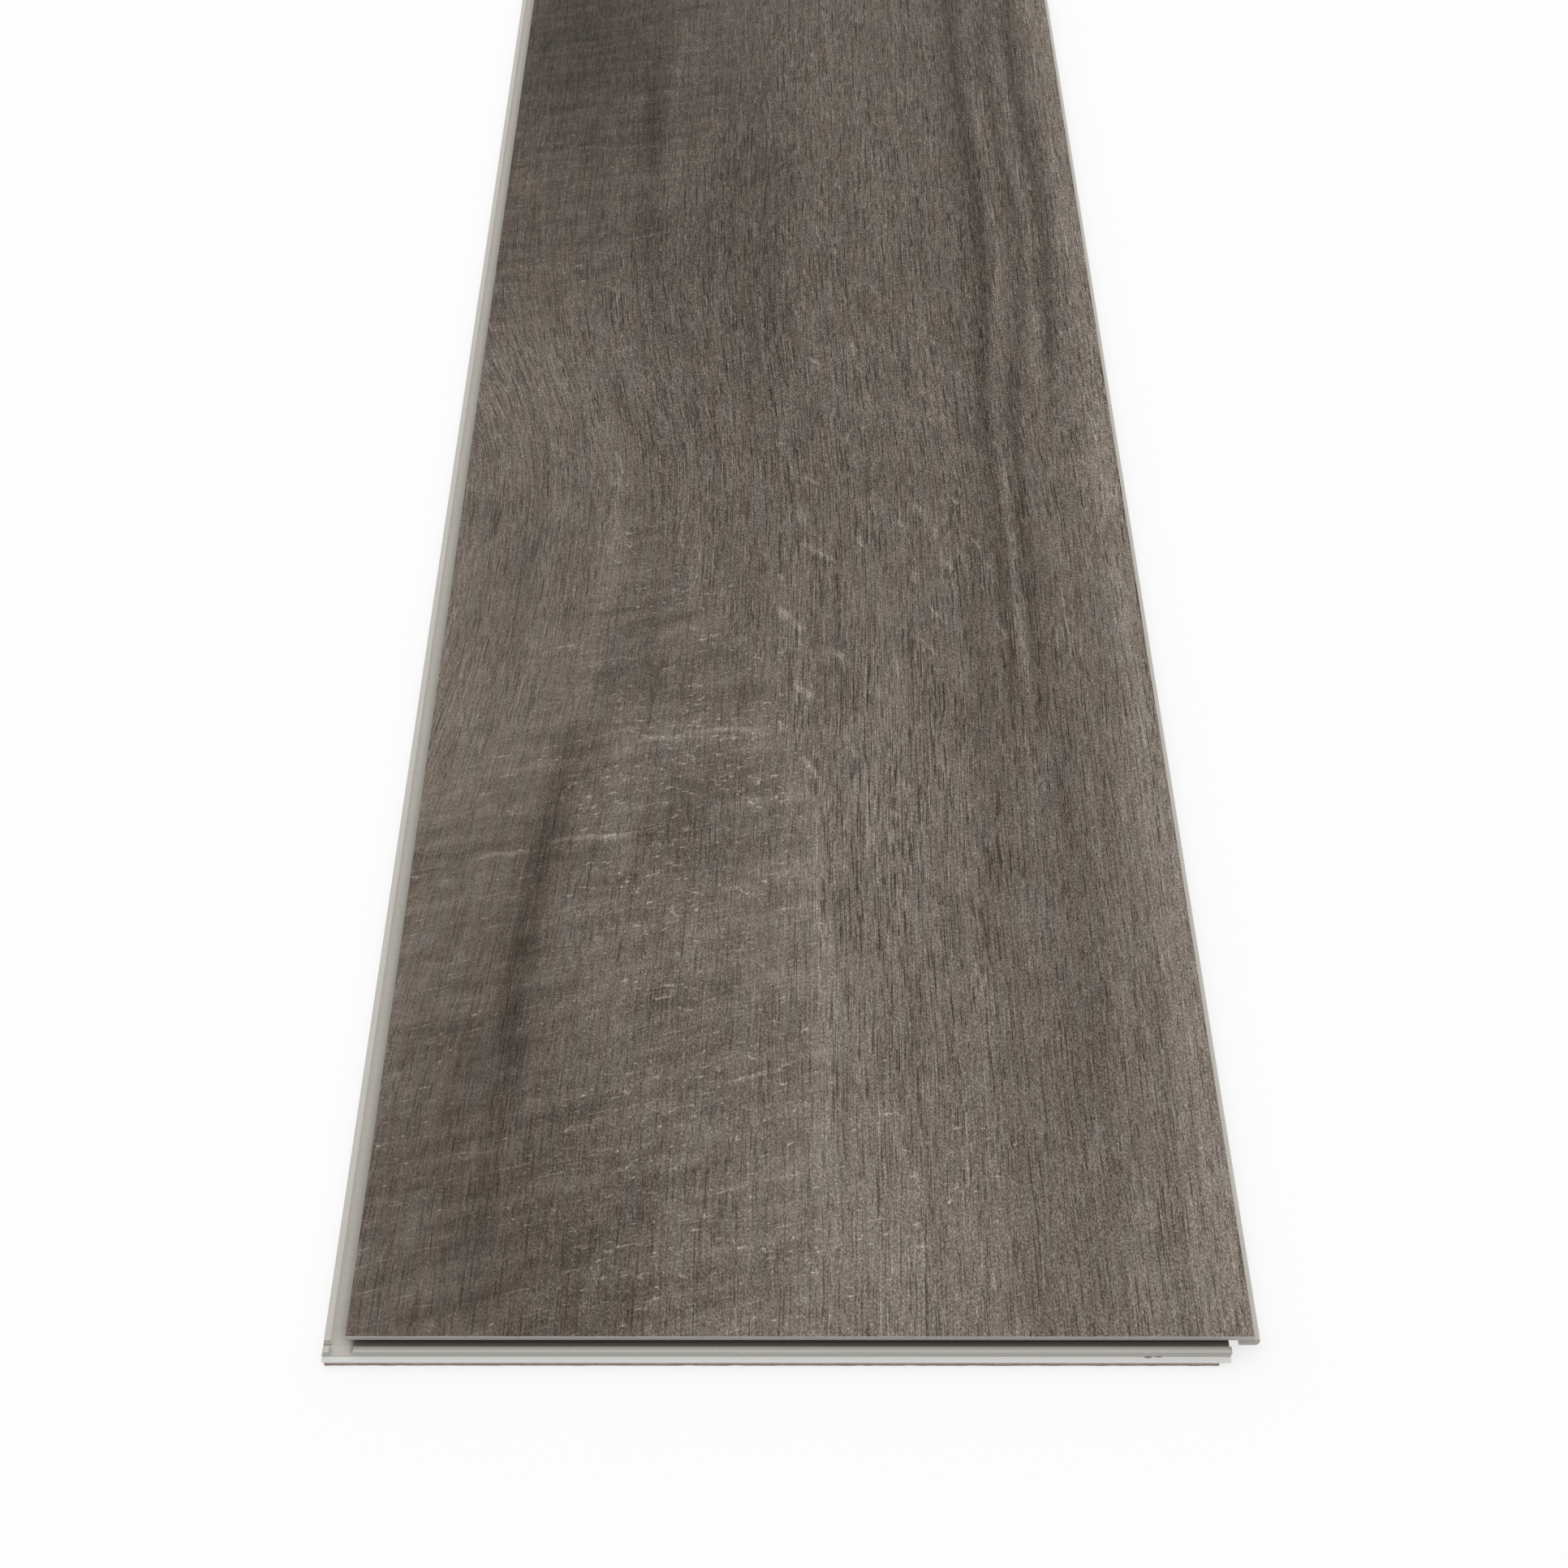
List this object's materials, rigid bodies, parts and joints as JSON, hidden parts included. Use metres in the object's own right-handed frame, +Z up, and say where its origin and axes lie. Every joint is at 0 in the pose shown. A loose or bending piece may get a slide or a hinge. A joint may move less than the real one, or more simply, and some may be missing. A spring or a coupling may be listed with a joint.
{
  "type": "click floor plank",
  "caption": "Rigid vinyl floor plank with a grey-brown oak print, milled click edges and an attached underlay pad.",
  "frame": {"origin": "middle of the bounding box at the underside of the pad, where the plank lies on the subfloor", "axes": "+Y along the plank towards the hooked end, +X across it towards the tongue, +Z up through the printed face"},
  "size_m": [0.2362, 1.224, 0.0065],
  "materials": {
    "printed_vinyl": "low sheen oak print with fine embossed pores",
    "mineral_core": "matte milled light grey",
    "pad_foam": "matte brown foam"
  },
  "bodies": {
    "root": {"wear_layer": "printed_vinyl", "rigid_core": "mineral_core", "underlay_pad": "pad_foam"}
  },
  "joints": []
}
